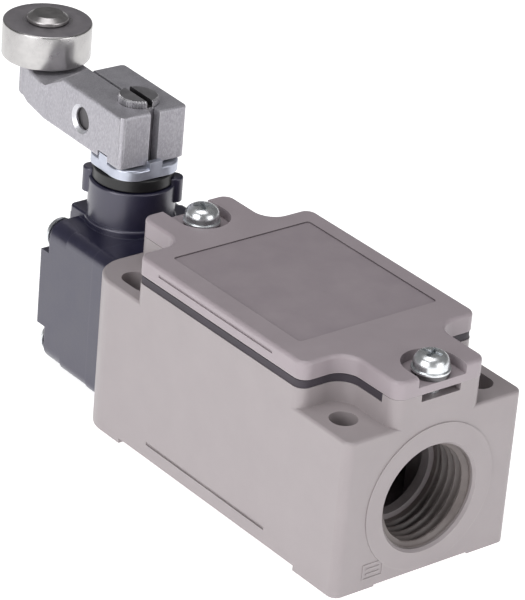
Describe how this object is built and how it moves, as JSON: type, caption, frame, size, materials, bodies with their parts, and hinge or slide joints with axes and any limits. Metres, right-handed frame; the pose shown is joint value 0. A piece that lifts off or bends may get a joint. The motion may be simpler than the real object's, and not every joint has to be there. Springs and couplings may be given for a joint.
{
  "type": "limit switch",
  "caption": "Industrial limit switch: die-cast case with conduit entry, sealed cover, rotary head and a side roller lever that swings both ways and springs back.",
  "frame": {"origin": "centre of the rectangle of four mounting holes, on the mounting plane of the case's feet", "axes": "+X across the case, +Y along the case towards the rotary head, +Z out of the cover, which is also the lever shaft's axis"},
  "size_m": [0.0406, 0.1331, 0.0615],
  "materials": {
    "case_paint": "satin baked paint on die-cast aluminium",
    "cover_paint": "satin baked paint on die-cast aluminium",
    "black_rubber": "moulded nitrile rubber",
    "zinc_screw": "zinc-plated steel",
    "steel_dark": "blackened steel",
    "head_paint": "dark blue-grey enamel on die-cast metal",
    "bronze": "sintered bronze",
    "seal_rubber": "smooth nitrile rubber",
    "steel_turned": "turned steel",
    "plate_zinc": "bright zinc-plated steel",
    "lever_metal": "grit-blasted casting",
    "roller_steel": "turned stainless steel",
    "rivet_steel": "turned stainless steel",
    "spring_steel": "drawn spring wire",
    "black_plastic": "moulded phenolic",
    "clear_brown": "moulded polycarbonate",
    "white_plastic": "moulded acetal",
    "brass_contact": "rolled brass",
    "green_screw": "green-dyed zinc-plated steel"
  },
  "bodies": {
    "body": {"case": "case_paint", "cover": "cover_paint", "cover_gasket": "black_rubber", "cover_screws": "zinc_screw", "cover_screw_washers": "zinc_screw", "cover_screw_spring_washers": "steel_dark", "head_gasket": "black_rubber", "head_body": "head_paint", "head_screws": "zinc_screw", "turret_bush": "bronze", "shaft_o_ring": "black_rubber", "shaft_seal": "seal_rubber", "plunger_guide": "bronze", "switch_housing": "black_plastic", "switch_cover": "clear_brown", "fixed_contacts": "brass_contact", "terminal_clamps": "zinc_screw", "terminal_screws": "zinc_screw", "switch_mount_screws": "zinc_screw", "ground_washer": "zinc_screw", "ground_screw": "green_screw", "plunger_spring": "spring_steel", "carrier_spring": "spring_steel"},
    "lever": {"rotary_shaft": "steel_turned", "shaft_retaining_clip": "steel_turned", "shaft_cam": "steel_turned", "position_plate": "plate_zinc", "lever_arm": "lever_metal", "lever_clamp_half": "lever_metal", "lever_bolt": "steel_dark", "roller_washer": "steel_turned", "roller_pin": "rivet_steel"},
    "roller": {"roller": "roller_steel"},
    "plunger": {"plunger": "steel_turned"},
    "contact_carrier": {"contact_carrier": "white_plastic", "moving_contacts": "brass_contact", "contact_springs": "spring_steel"}
  },
  "joints": [
    {"name": "lever_swing", "type": "hinge", "parent": "body", "child": "lever", "pos_m": [0, 0.054, 0.045], "axis": [0, 0, 1], "range_deg": [-70, 70], "stiffness_Nm_per_rad": 0.12},
    {"name": "roller_spin", "type": "hinge", "parent": "lever", "child": "roller", "pos_m": [0.00112, 0.08598, 0.056], "axis": [0, 0, 1], "continuous": true},
    {"name": "plunger_slide", "type": "slide", "parent": "body", "child": "plunger", "axis": [0, -1, 0], "range_m": [0, 0.0022], "stiffness_N_per_m": 300, "springref_m": -0.004, "deforming": ["plunger_spring"]},
    {"name": "carrier_slide", "type": "slide", "parent": "body", "child": "contact_carrier", "axis": [0, -1, 0], "range_m": [0, 0.0022], "deforming": ["carrier_spring"]}
  ],
  "couplings": [
    {"joint": "carrier_slide", "follows": "plunger_slide", "ratio": 1}
  ]
}
